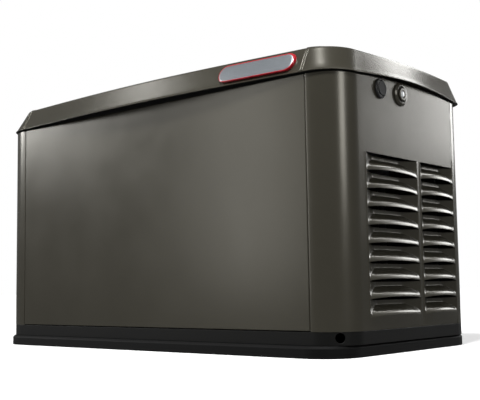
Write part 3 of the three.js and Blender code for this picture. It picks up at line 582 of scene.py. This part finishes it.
# the folded top hem, as (distance below the panel's top, distance inward, share of the crest)
HEM = ((1.6, 0, 1), (0.5, 0.5, 1), (0, 1.7, 1), (0.3, 3.6, 1), (0.3, 4.2, 0), (0.3, 24, 0))
SHEET = 1.6 * MM
PANEL_ANGLE = 34  # edges sharper than this stay sharp on an end panel, in degrees
FITTING_BORE = 16.6 * MM


def facet_depth(u, width):
    """How far in the blade's ends and ledge lie, in mm, at a place along the row."""
    near = min(u, width - u)
    slope = DEPTH / (FACET * width - JAMB / 2)
    if near < JAMB:
        return slope * near * near / (2 * JAMB)
    return min(DEPTH, slope * (near - JAMB / 2))


def ridge(near):
    """The bead along a louvre's upright edge; near is the distance inside that edge."""
    return RIDGE * max(0.0, math.cos(math.pi / 2 * min(1, abs(near + RIDGE_SPOT) / RIDGE_REACH)))


def louvre_line(u, width):
    """One upright section of a louvre, from the lip's lower edge up to the slot: (height, outward), in mm."""
    bead = ridge(min(u, width - u))
    if u < 0 or u > width:
        return [(height, bead) for height, _ in louvre_line(0.0, width)]
    t = u / width
    swell = math.sin(math.pi * t) ** SWELL_POWER if 0 < t < 1 else 0.0
    near = min(u, width - u)
    corner = 0.0
    if near < CORNER_ROUND:
        corner = CORNER_ROUND - math.sqrt(CORNER_ROUND ** 2 - (CORNER_ROUND - near) ** 2)
    depth = facet_depth(u, width) - bead
    line = []
    for i, (flat, lean, (height, out)) in enumerate(zip(LIP_FLAT, LIP_LEAN, LIP_FULL)):
        share = i / (len(LIP_FLAT) - 1)
        back = min(lean, max(0.0, depth) * share)
        level = flat + (height - flat) * swell + corner * share ** 2
        line.append((level, out * swell - back * (1 - swell) + bead))
    foot_z, foot_x = line[-1]
    bend_z = foot_z + TOE + (LEDGE_LOW - foot_z - TOE) * depth / DEPTH
    length = math.hypot(bend_z - foot_z, depth + foot_x)
    fold = min(FOLD, length / 2)
    up, back = (bend_z - foot_z) / length, (-depth - foot_x) / length
    line.append((foot_z + up * (length - fold) / 2, foot_x + back * (length - fold) / 2))
    for t in (0.0, 0.34, 0.67, 1.0):
        ramp_z, ramp_x = bend_z - up * fold * (1 - t), -depth - back * fold * (1 - t)
        line.append((ramp_z + (bend_z + fold * t - ramp_z) * t, ramp_x + (-depth - ramp_x) * t))
    rise = LEDGE_HIGH + (LOUVRE_PITCH / MM - HEAD_GAP - LEDGE_HIGH) * (1 - depth / DEPTH)
    start = line[-1][0]
    for t in (0.5, 1.0):
        line.append((start + (rise - start) * t, -depth))
    return line


def column_samples(width):
    """Where a louvre's upright sections stand: close together at its ends and facets."""
    facet = FACET * width
    last = NEAR_EDGE[-1]
    near = list(NEAR_EDGE)
    near += [last + (facet - last) * i / FACET_STEPS for i in range(1, FACET_STEPS)] + [facet]
    middle = [facet + (width - 2 * facet) * i / MIDDLE_STEPS for i in range(1, MIDDLE_STEPS)]
    return near + middle + [width - n for n in reversed(near)]


def panel_path(side_y, seam):
    """The plan outline of an end panel, from its front return flange round to its rear one."""
    lip, depth = 0.8 * MM, 13 * MM
    cx = HALF_X - CORNER
    inner = HALF_Y - CORNER
    front = [(seam, -HALF_Y + depth), (seam, -HALF_Y + lip), (seam + 0.3 * lip, -HALF_Y + 0.4 * lip)]
    corner = [(seam + lip, -HALF_Y)] + arc(cx, -inner, CORNER, -math.pi / 2, 0, 18)
    sides = [(HALF_X, y) for y in side_y]
    far = [(x, -y) for x, y in reversed(corner)]
    back = [(x, -y) for x, y in reversed(front)]
    return front + corner[:-1] + sides + far[1:] + back


def end_panel(name, node_name, sign, seam, rows, bores):
    """A formed sheet: rounded corners, returns at the seams, a crested top hem and rows of louvres."""
    inner = HALF_Y - CORNER
    side_y = [-inner]
    cells = []
    for y0, y1 in COLUMNS:
        width = (y1 - y0) / MM
        for u in [-g for g in GUARDS] + column_samples(width) + [width + g for g in reversed(GUARDS)]:
            cells.append((len(side_y), u, width))
            side_y.append(y0 + u * MM)
    side_y[-1] = inner + 0.01 * MM
    path = panel_path(side_y, seam)
    first_side = path.index((HALF_X, side_y[0]))
    lines = [(0.0, 1.0, None)] * len(path)
    for i, u, width in cells:
        lines[first_side + i] = (u, width, louvre_line(u, width))
    plain = louvre_line(0.0, 200.0)

    top = LOUVRE_BOTTOM + rows * LOUVRE_PITCH
    rows_of_points = []

    def level(z, inset=0.0, crest=0.0):
        made = []
        for x, y in path:
            toward = Vector((min(HALF_X - CORNER, x) - x, max(-inner, min(inner, y)) - y, 0))
            toward = toward.normalized() * inset if toward.length > 1e-9 else toward
            if x < HALF_X - CORNER:
                toward.x = 0
            rise = CREST * crest * max(0.0, math.cos(math.pi / 2 * min(1, abs(y) / inner)))
            if x < HALF_X - 0.1 * MM:
                rise = 0.0
            made.append((x + toward.x, y + toward.y, z + rise))
        rows_of_points.append(("plain", made))

    def louvre_levels(foot):
        for k in range(len(plain)):
            made = []
            for (x, y), (u, width, line) in zip(path, lines):
                height, out = line[k] if line else (plain[k][0], 0.0)
                made.append((x + out * MM, y, foot + height * MM))
            rows_of_points.append((k, made))

    level(PANEL_LOW)
    level(PANEL_LOW + 10 * MM)
    for row in range(rows):
        louvre_levels(LOUVRE_BOTTOM + row * LOUVRE_PITCH)
    level(top + 0.6 * MM)
    gap = PANEL_TOP - top
    for t in (0.04, 0.15, 0.3, 0.5, 0.75):
        level(top + gap * t, 0.0, t * t)
    for drop, inset, crest in HEM:
        level(PANEL_TOP - drop * MM, inset * MM, crest)

    count = len(path)
    vertices = [(sign * x, y + MIDDLE_Y, z) for _, points in rows_of_points for x, y, z in points]

    def is_open(k, i):
        """True where the slot above a blade leaves the sheet out."""
        if rows_of_points[k][0] != len(plain) - 1:
            return False
        (u, width, line), (after, _, next_line) = lines[i], lines[i + 1]
        return bool(line and next_line) and 0 <= u < after <= width

    faces = []
    for k in range(len(rows_of_points) - 1):
        for i in range(count - 1):
            if is_open(k, i):
                continue
            a, b = k * count + i, (k + 1) * count + i
            quad = (a, a + 1, b + 1, b)
            faces.append(quad if sign > 0 else quad[::-1])
    made = mesh_object(name, vertices, faces, "powder_coat", PANEL_ANGLE)
    thickness = made.modifiers.new("sheet", "SOLIDIFY")
    thickness.thickness = SHEET
    thickness.offset = -1
    bpy.context.view_layer.update()
    bake_modifiers(made, "powder_coat", PANEL_ANGLE)
    for centre, radius in bores:
        bore(made, centre, radius, 60 * MM, (1, 0, 0))
    dress(made, "powder_coat", PANEL_ANGLE)
    even_normals(made)
    return place(made, "enclosure", node_name)


def fitting_bore(node_name, sign):
    low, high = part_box(node_name)
    return Vector((sign * HALF_X, (low.y + high.y) / 2, (low.z + high.z) / 2)), FITTING_BORE


RIGHT_BORES = [fitting_bore("lock_barrel_right", 1), fitting_bore("status_bezel", 1)]
LEFT_BORES = [fitting_bore("lock_barrel_left", -1)]
end_panel("intake_end", "intake_end_panel", 1, SEAM_RIGHT, 9, RIGHT_BORES)
end_panel("exhaust_end", "exhaust_end_panel", -1, -SEAM_LEFT, 6, LEFT_BORES)


# ---- the lid; outlines and heights in mm ----
RIM = {"x": 604, "front": 306, "rear": 306, "corner": 86, "rear_corner": 60}
CREASE = {"x": 582, "front": 279, "rear": 286, "corner": 88, "rear_corner": 42}
LEDGE = {"x": 561, "front": 258.5, "rear": 258.5, "corner": 41, "rear_corner": 41}
LEDGE_RISE = 12.0
LIP_ROLL = 1.3  # how far the lip along the rim stands out from the skirt
CREASE_Z = 687.0
LEAST_CORNER = 6
LID_ANGLE = 32
LONG_STEPS, CORNER_STEPS, END_STEPS = 56, 14, 20  # points along a front, round a corner and along an end
CROWN = (  # the top inside the crease: distance inward, and share of the way up to the peak
    (2.5, 0.035), (6, 0.06), (14, 0.11), (28, 0.19), (45, 0.28), (75, 0.44), (110, 0.6), (160, 0.82),
    (205, 0.96), (230, 1.0),
)


def mix(a, b, t):
    """An outline between two others, t of the way from a to b."""
    return {key: a[key] + (b[key] - a[key]) * t for key in a}


def lid_ring(shape, offset, z, swell=1.0, arch=0.0):
    """One level outline of the lid, in mm, moved inward by offset; z rises by arch along the ends."""
    corner = max(shape["corner"] - offset, LEAST_CORNER)
    rear_corner = max(shape["rear_corner"] - offset, LEAST_CORNER)
    x = shape["x"] - offset
    front = shape["front"] - offset
    rear = shape["rear"] - offset

    def bulge(t):
        return max(0.0, math.cos(math.pi / 2 * t)) * swell

    points = []
    for i in range(LONG_STEPS):
        px = (x - corner) * (-1 + 2 * i / LONG_STEPS)
        points.append((px, -front - FRONT_BOW / MM * bulge(px / (x - corner)), z))

    def bend(cx, cy, radius, start):
        return [(a, b, z) for a, b in arc(cx, cy, radius, start, start + math.pi / 2, CORNER_STEPS)]

    def flank(sign, y0, y1):
        out = []
        for i in range(1, END_STEPS):
            t = -1 + 2 * i / END_STEPS
            y = y0 + (y1 - y0) * i / END_STEPS
            out.append((sign * (x + END_BOW / MM * bulge(t)), y, z + arch * bulge(t)))
        return out

    points += bend(x - corner, -front + corner, corner, -math.pi / 2)
    points += flank(1, -front + corner, rear - rear_corner)
    points += bend(x - rear_corner, rear - rear_corner, rear_corner, 0)
    for i in range(1, LONG_STEPS):
        points.append(((x - rear_corner) * (1 - 2 * i / LONG_STEPS), rear, z))
    points += bend(-x + rear_corner, rear - rear_corner, rear_corner, math.pi / 2)
    points += flank(-1, rear - rear_corner, -front + corner)
    points += bend(-x + corner, -front + corner, corner, math.pi)[:-1]
    return points


def crown_rings(offset):
    """The top of the lid inside its crease, with a rounded shoulder."""
    peak = TOP_Z / MM - CREASE_Z
    return [lid_ring(CREASE, offset + inset, CREASE_Z - offset + rise * peak) for inset, rise in CROWN]


def skirt_rings():
    """From the rim up to the crease, with the rim's lip and a small radius at the crease."""
    rings = []
    lip = ((0.03, 0), (0.05, 0.15), (0.075, 0.8), (0.1, 1))
    for t, roll in lip + tuple((t, 1) for t in (0.3, 0.5, 0.7, 0.86, 0.93)):
        z = RIM_Z / MM + (CREASE_Z - RIM_Z / MM) * t
        rings.append(lid_ring(mix(RIM, CREASE, t), LIP_ROLL * roll, z, arch=END_ARCH / MM * (1 - t)))
    rings.append(lid_ring(mix(RIM, CREASE, 0.97), LIP_ROLL + 0.5, CREASE_Z - 0.6))
    return rings


def lid_shell():
    """One closed skin: the inside from its top down, the seal's ledge, the rim, then the outside up."""
    z = RIM_Z / MM
    arch = END_ARCH / MM
    inner = LID_SHEET / MM
    rings = list(reversed(crown_rings(inner)))
    for t in (0.93, 0.5, 0.3):
        rings.append(lid_ring(mix(RIM, CREASE, t), inner, z + (CREASE_Z - z) * t - inner * t))
    rings += [lid_ring(LEDGE, 0, z + LEDGE_RISE + 3, 0), lid_ring(LEDGE, 0, z + LEDGE_RISE, 0)]
    low = mix(RIM, CREASE, LEDGE_RISE / (CREASE_Z - z))
    rings += [lid_ring(low, inner, z + LEDGE_RISE), lid_ring(RIM, inner, z + 0.6, arch=arch)]
    rings += [lid_ring(RIM, inner - 0.8, z, arch=arch), lid_ring(RIM, 0.9, z, arch=arch)]
    rings += [lid_ring(RIM, 0.1, z + 0.8, arch=arch)]
    rings += skirt_rings()
    rings += crown_rings(0)
    count = len(rings[0])
    vertices = [(x * MM, y * MM + MIDDLE_Y, h * MM) for ring in rings for x, y, h in ring]
    faces = []
    for k in range(len(rings) - 1):
        for i in range(count):
            j = (i + 1) % count
            faces.append((k * count + i, k * count + j, (k + 1) * count + j, (k + 1) * count + i))
    for k in (0, len(rings) - 1):
        ring = rings[k]
        centre = len(vertices)
        mid = [sum(p[axis] for p in ring) / count * MM for axis in range(3)]
        vertices.append((mid[0], mid[1] + MIDDLE_Y, mid[2]))
        faces += [(centre, k * count + (i + 1) % count, k * count + i) for i in range(count)]
    made = mesh_object("lid_shell", vertices, faces, "powder_coat")
    fix_normals(made)
    dress(made, "powder_coat", LID_ANGLE)
    return place(made, "lid", "lid")


shell = lid_shell()


def surface_of(made):
    """A search tree over a piece's faces, for rays cast at it."""
    work = bmesh.new()
    work.from_mesh(made.data)
    tree = BVHTree.FromBMesh(work)
    work.free()
    return tree


lid_surface = surface_of(shell)


RIB_RADIUS = 1.6 * MM
RIB_REACHES = (0.5066, 0.5124)
RIB_STEPS = 90


def lid_rib(name, x):
    """A half-round bead that runs up the front skirt, over the top and down the rear skirt."""

    def up_skirt(y, toward):
        low, rise = RIM_Z + 2 * MM, CREASE_Z * MM - RIM_Z - 4 * MM
        heights = [low + rise * i / 14 for i in range(15)]
        return [lid_surface.ray_cast(Vector((x, y, z)), Vector((0, toward, 0)))[0] for z in heights]

    front = up_skirt(lid_low.y - CLEAR, 1)
    back = up_skirt(lid_high.y + CLEAR, -1)
    start, end = front[-1].y, back[-1].y
    top = []
    for i in range(1, RIB_STEPS):
        y = start + (end - start) * i / RIB_STEPS
        top.append(lid_surface.ray_cast(Vector((x, y, TOP_Z + CLEAR)), Vector((0, 0, -1)))[0])
    for _ in range(8):
        middle = [(a + b * 2 + c) / 4 for a, b, c in zip(top, top[1:], top[2:])]
        top = [top[0]] + middle + [top[-1]]
    points = front + top + list(reversed(back))
    data = bpy.data.curves.new(name, "CURVE")
    data.dimensions = "3D"
    data.bevel_depth = RIB_RADIUS
    data.bevel_resolution = 3
    data.use_fill_caps = True
    spline = data.splines.new("POLY")
    spline.points.add(len(points) - 1)
    for point, co in zip(spline.points, points):
        point.co = (*co, 1)
    made = bpy.data.objects.new(name, data)
    data.materials.append(MATERIALS["powder_coat"])
    bpy.context.scene.collection.objects.link(made)
    return place(made, "lid")


for side_name, sign in (("left", -1), ("right", 1)):
    for i, reach in enumerate(RIB_REACHES):
        lid_rib(f"lid_rib_{side_name}_{i + 1}", sign * reach)


# ---- the badge: a blank pill, red rim and silver face ----
badge_low, badge_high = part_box("badge_bezel")
BADGE_ANGLE = 30
BADGE_ARC_STEPS = 20
BADGE_SHARES = (0.2, 0.4, 0.6, 0.8)  # where the pill's straight sides carry a point
BADGE_ROLL = ((0, 0.55), (1.2 * MM, 0.9), (2.6 * MM, 1))  # distance in from the edge, share of the lift


def badge_piece(name, replaced, inset, lift, sink, slot, crown):
    """A pill that follows the swollen skirt; lift is how far its face stands off the skirt."""
    x0, x1 = badge_low.x + inset, badge_high.x - inset
    z0, z1 = badge_low.z + inset, badge_high.z - inset
    radius = (z1 - z0) / 2
    sides = [x0 + radius + (x1 - x0 - 2 * radius) * share for share in BADGE_SHARES]
    outline = arc(x1 - radius, z0 + radius, radius, -math.pi / 2, math.pi / 2, BADGE_ARC_STEPS)
    outline += [(x, z1) for x in reversed(sides)]
    outline += arc(x0 + radius, z0 + radius, radius, math.pi / 2, 1.5 * math.pi, BADGE_ARC_STEPS)
    outline += [(x, z0) for x in sides]
    front = lid_low.y - CLEAR
    middle_z = (z0 + z1) / 2

    def on_skirt(x, z, off):
        hit = lid_surface.ray_cast(Vector((x, front, z)), Vector((0, 1, 0)))[0]
        return (x, hit.y - off, z)

    rings = []
    roll = tuple((shrink, lift * share) for shrink, share in BADGE_ROLL)
    for shrink, off in ((0, -sink),) + roll + crown:
        ring = []
        for x, z in outline:
            along = Vector((x - min(max(x, x0 + radius), x1 - radius), z - middle_z))
            pull = along.normalized() * min(shrink, along.length) if along.length > 1e-9 else along
            ring.append(on_skirt(x - pull.x, z - pull.y, off))
        rings.append(ring)
    count = len(outline)
    vertices = [v for ring in rings for v in ring]
    faces = []
    for k in range(len(rings) - 1):
        for i in range(count):
            j = (i + 1) % count
            faces.append((k * count + i, k * count + j, (k + 1) * count + j, (k + 1) * count + i))
    faces.append(tuple(range(count))[::-1])
    faces.append(tuple((len(rings) - 1) * count + i for i in range(count)))
    made = mesh_object(name, vertices, faces, slot)
    fix_normals(made)
    dress(made, slot, BADGE_ANGLE)
    return place(made, "lid", replaced)


badge_piece("badge_rim", "badge_bezel", 0, 8.0 * MM, 0.6 * MM, "red_trim", ())
badge_piece("badge_face", "badge_plate", 1.9 * MM, 8.6 * MM, 0.2 * MM, "silver_plate", ((5 * MM, 8.8 * MM),))


# ---- locks and the status window ----
def turned(name, centre, axis, profile, slot, sides=64):
    """A lathed piece whose profile of (radius, distance outward) is in mm."""
    return lathe(name, centre, axis, [(r * MM, d * MM) for r, d in profile], slot, sides)


def lock_set(side_name, sign):
    """The lid lock's stepped ring and the dished rubber flap over its keyhole."""
    low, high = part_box("lock_barrel_" + side_name)
    centre = Vector((sign * HALF_X, (low.y + high.y) / 2, (low.z + high.z) / 2))
    axis = (sign, 0, 0)
    reach = (high.y - low.y) / 2
    barrel = [(11, -14), (16, -14), (16, 0.1), (reach / MM - 0.6, 0.1), (reach / MM, 0.8), (reach / MM, 2.6),
              (22, 4.6), (20.4, 5), (19.4, 4.6), (18.8, 3.4), (18.6, 2), (11.8, 1.7), (11, 1.2)]
    piece = turned("lock_ring_" + side_name, centre, axis, barrel, "black_steel")
    place(piece, "enclosure", "lock_barrel_" + side_name)
    flap = [(0, 5.6), (15.4, 5.6), (16.6, 6.0), (17, 6.8), (16.4, 7.7), (14.5, 8.2), (12, 7.6), (9, 7.5),
            (0, 7.9)]
    disc = turned("lock_flap_" + side_name, centre, axis, flap, "rubber")
    place(disc, "lock_cover_" + side_name, "lock_cover_" + side_name)


lock_set("right", 1)
lock_set("left", -1)


def status_window():
    """A wide stepped bezel, a dark groove and a milky button of glass."""
    low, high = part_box("status_bezel")
    centre = Vector((HALF_X, (low.y + high.y) / 2, (low.z + high.z) / 2))
    axis = (1, 0, 0)
    bezel = [(7.7, -14), (16, -14), (16, 0.1), (27.2, 0.1), (28, 0.9), (28, 2.2), (27, 3.2), (24.4, 5.6),
             (22.6, 6.3), (20.4, 6.4), (19.4, 5.8), (18.8, 4.6), (18.0, 3.2), (16.4, 3.0), (15.7, 3.8),
             (15.5, 8.0), (14.9, 8.8), (13.4, 9), (9.4, 8.8), (8.2, 7.8), (7.7, 6.6)]
    piece = turned("status_ring", centre, axis, bezel, "powder_coat")
    place(piece, "enclosure", "status_bezel")
    groove = [(15.8, 3.1), (18.4, 3.1), (18.4, 3.7), (17.1, 4.2), (15.8, 3.7)]
    gasket = turned("status_groove", centre, axis, groove, "rubber")
    place(gasket, "enclosure")
    glass = [(0, -12), (7.4, -12), (7.4, 7.6), (6.8, 8.3), (5, 8.7), (2.5, 8.9), (0, 8.9)]
    lens = turned("status_glass", centre, axis, glass, "pale_lens")
    place(lens, "enclosure", "status_lens")


status_window()


# ---- rubber pieces that close the rear fittings' bores ----
FUEL_PIPE = {"x": 400.0, "z": 130.0, "radius": 11.0}  # where the pipe passes the rear panel, in mm


def rear_fitting(name, x, z, profile):
    """A round moulded rubber piece on the rear panel's outer face."""
    centre = Vector((x, MIDDLE_Y + HALF_Y, z))
    place(turned(name, centre, (0, 1, 0), profile, "rubber", 40), "enclosure")


def conduit_blank(radius):
    """The disc that fills the gland's bore, with a dished middle."""
    low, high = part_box("conduit_gland")
    dish, rim = radius * 0.6, radius * 0.8
    plug = [(radius, 0), (radius * 0.9, -2), (0, -2)]
    profile = [(0, 4), (dish, 4), (rim, 6), (radius, 6)] + plug
    rear_fitting("conduit_blank", (low.x + high.x) / 2, (low.z + high.z) / 2, profile)


def fuel_grommet(reach):
    """The flanged ring between the fuel pipe and its hole in the rear panel."""
    inner = FUEL_PIPE["radius"] + 0.2
    outer = FUEL_PIPE["radius"] + reach
    flange = [(outer, 3), (outer + 2.5, 2), (outer + 2.5, 0.3), (outer, 0.3)]
    profile = [(inner, 5)] + flange + [(outer, -3), (inner, -3)]
    rear_fitting("fuel_grommet", FUEL_PIPE["x"] * MM, FUEL_PIPE["z"] * MM, profile)


conduit_blank(10.9)
fuel_grommet(2.8)


# ---- every other CAD node keeps its form, with rounded edges and its own finish ----
BODY_OF = {name: body for body, names in frame["record"]["behaviour"]["bodies"].items() for name in names}
SLOT_OF = {part["node"]: part["material_slot"] for part in frame["record"]["subparts"]}
EDGE_GROUPS = {  # edge radius in mm: the nodes that have it
    0.3: ("throttle_plate",),
    0.5: ("button_auto", "button_off", "button_manual", "exhaust_divider", "control_partition"),
    0.6: ("hinge_bracket_left", "hinge_bracket_right", "hinge_leaf_left", "hinge_leaf_right"),
    0.7: ("breaker_toggle",),
    1.0: ("base_frame",),
    1.2: ("rear_panel",),
    1.5: ("mounting_pad",),
    2.0: ("engine_cradle",),
    2.2: ("front_panel",),
    3.0: ("battery", "control_box", "rocker_cover_front", "rocker_cover_rear", "muffler"),
    4.0: ("crankcase", "air_cleaner"),
}
EDGE = {name: width for width, names in EDGE_GROUPS.items() for name in names}
DEFAULT_EDGE = 0.8
for name, source in frame["nodes"].items():
    if not source.hide_render:
        refine(name, SLOT_OF[name], BODY_OF[name], EDGE.get(name, DEFAULT_EDGE) * MM)
